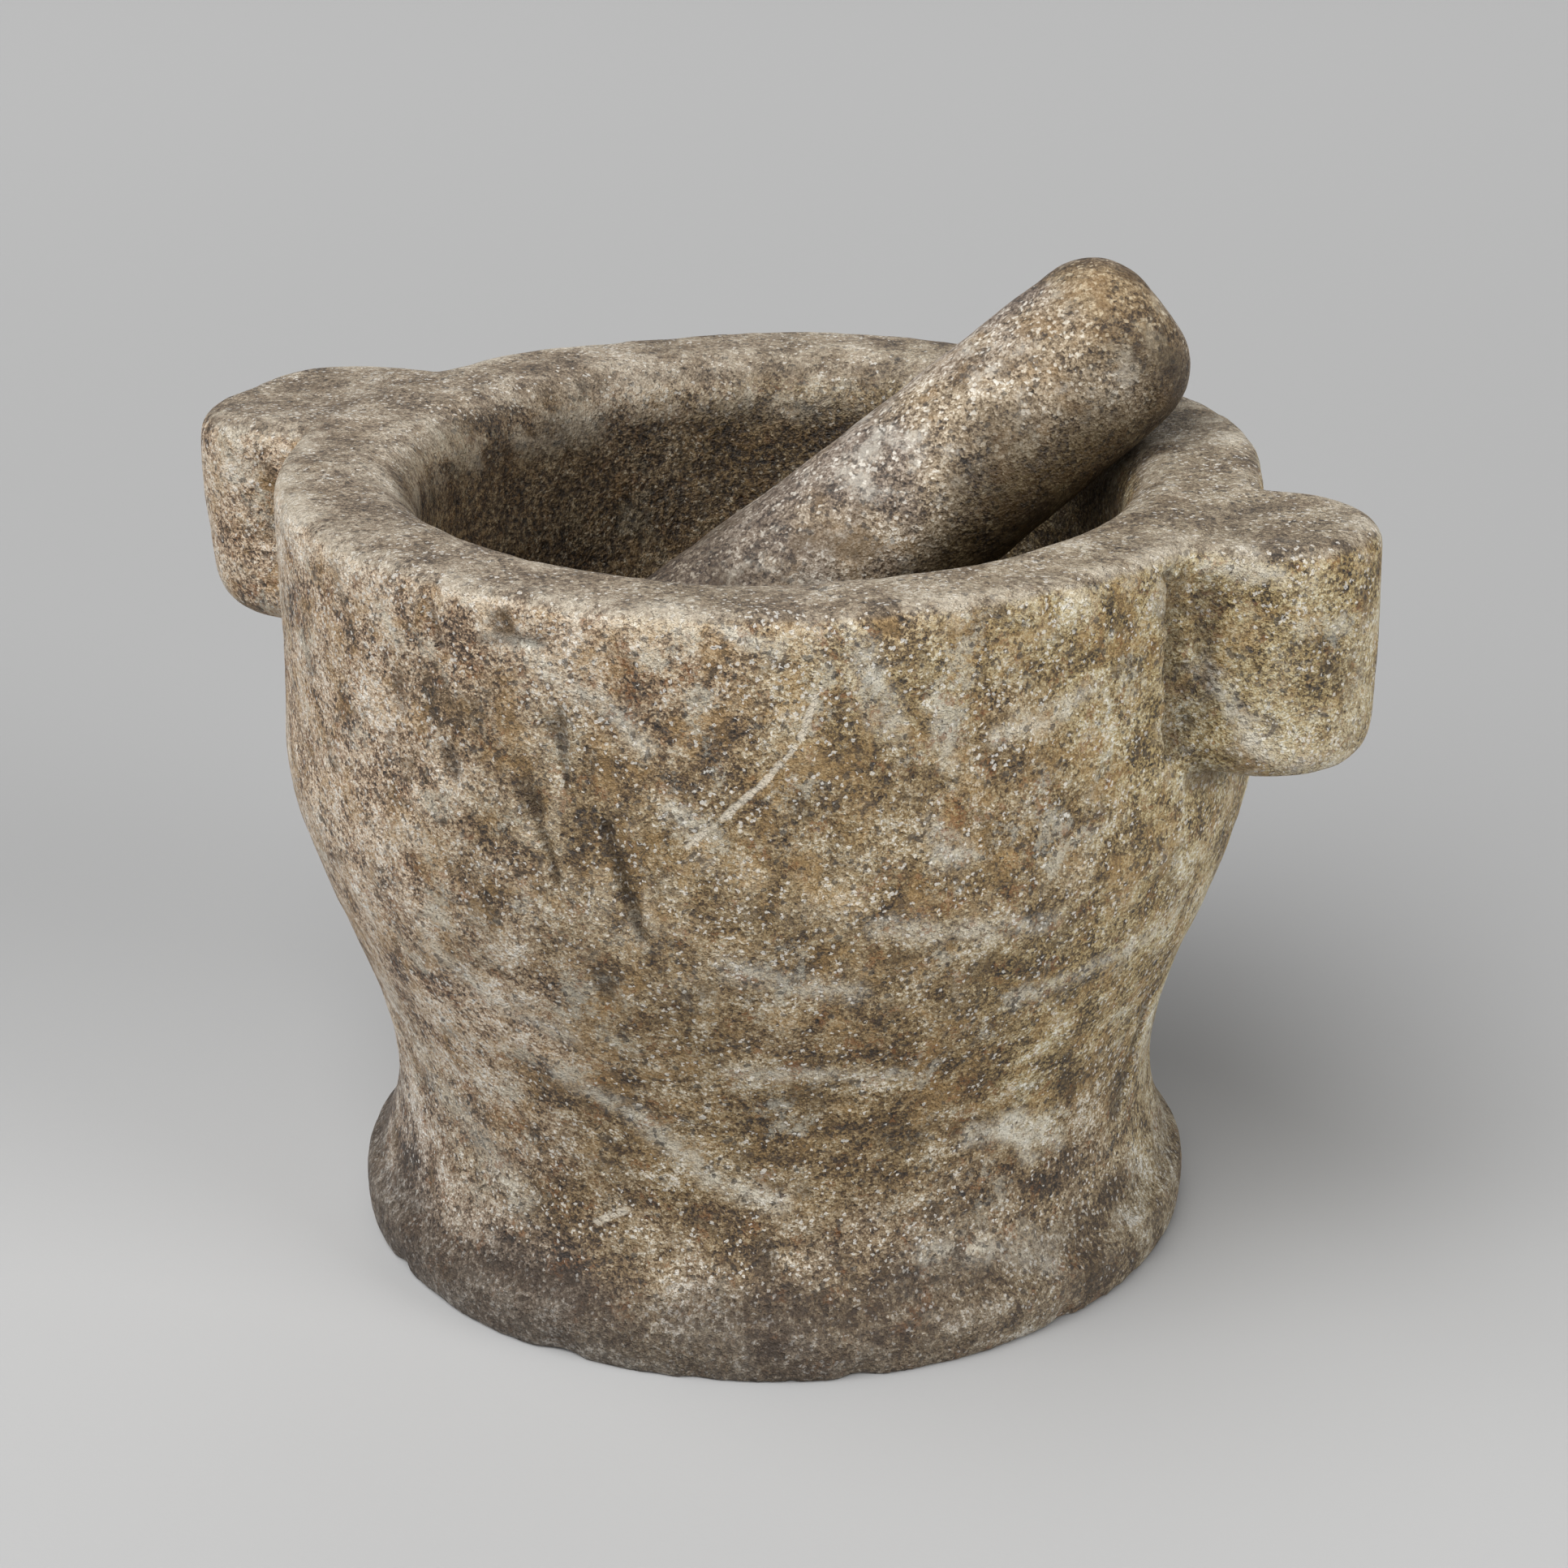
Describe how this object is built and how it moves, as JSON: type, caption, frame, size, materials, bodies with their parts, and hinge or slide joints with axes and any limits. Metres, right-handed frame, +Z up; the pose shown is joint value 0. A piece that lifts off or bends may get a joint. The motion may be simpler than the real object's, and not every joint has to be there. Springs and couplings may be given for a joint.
{
  "type": "mortar and pestle",
  "caption": "Carved stone mortar with a deep round bowl, a flared foot and side grip lugs, with a loose club-shaped stone pestle leaning in the bowl.",
  "frame": {"origin": "centre of the underside of the mortar's foot", "axes": "+Z up, +X from the mortar's axis through the round grip lug, +Y to the left of that"},
  "size_m": [0.3372, 0.262, 0.2632],
  "materials": {
    "mortar_stone": "matte",
    "pestle_stone": "matte"
  },
  "bodies": {
    "mortar": {"mortar": "mortar_stone"},
    "pestle": {"pestle": "pestle_stone"}
  },
  "joints": [
    {"name": "pestle_lift", "type": "slide", "parent": "mortar", "child": "pestle", "axis": [0, 0, 1], "range_m": [0, 0.15]}
  ]
}
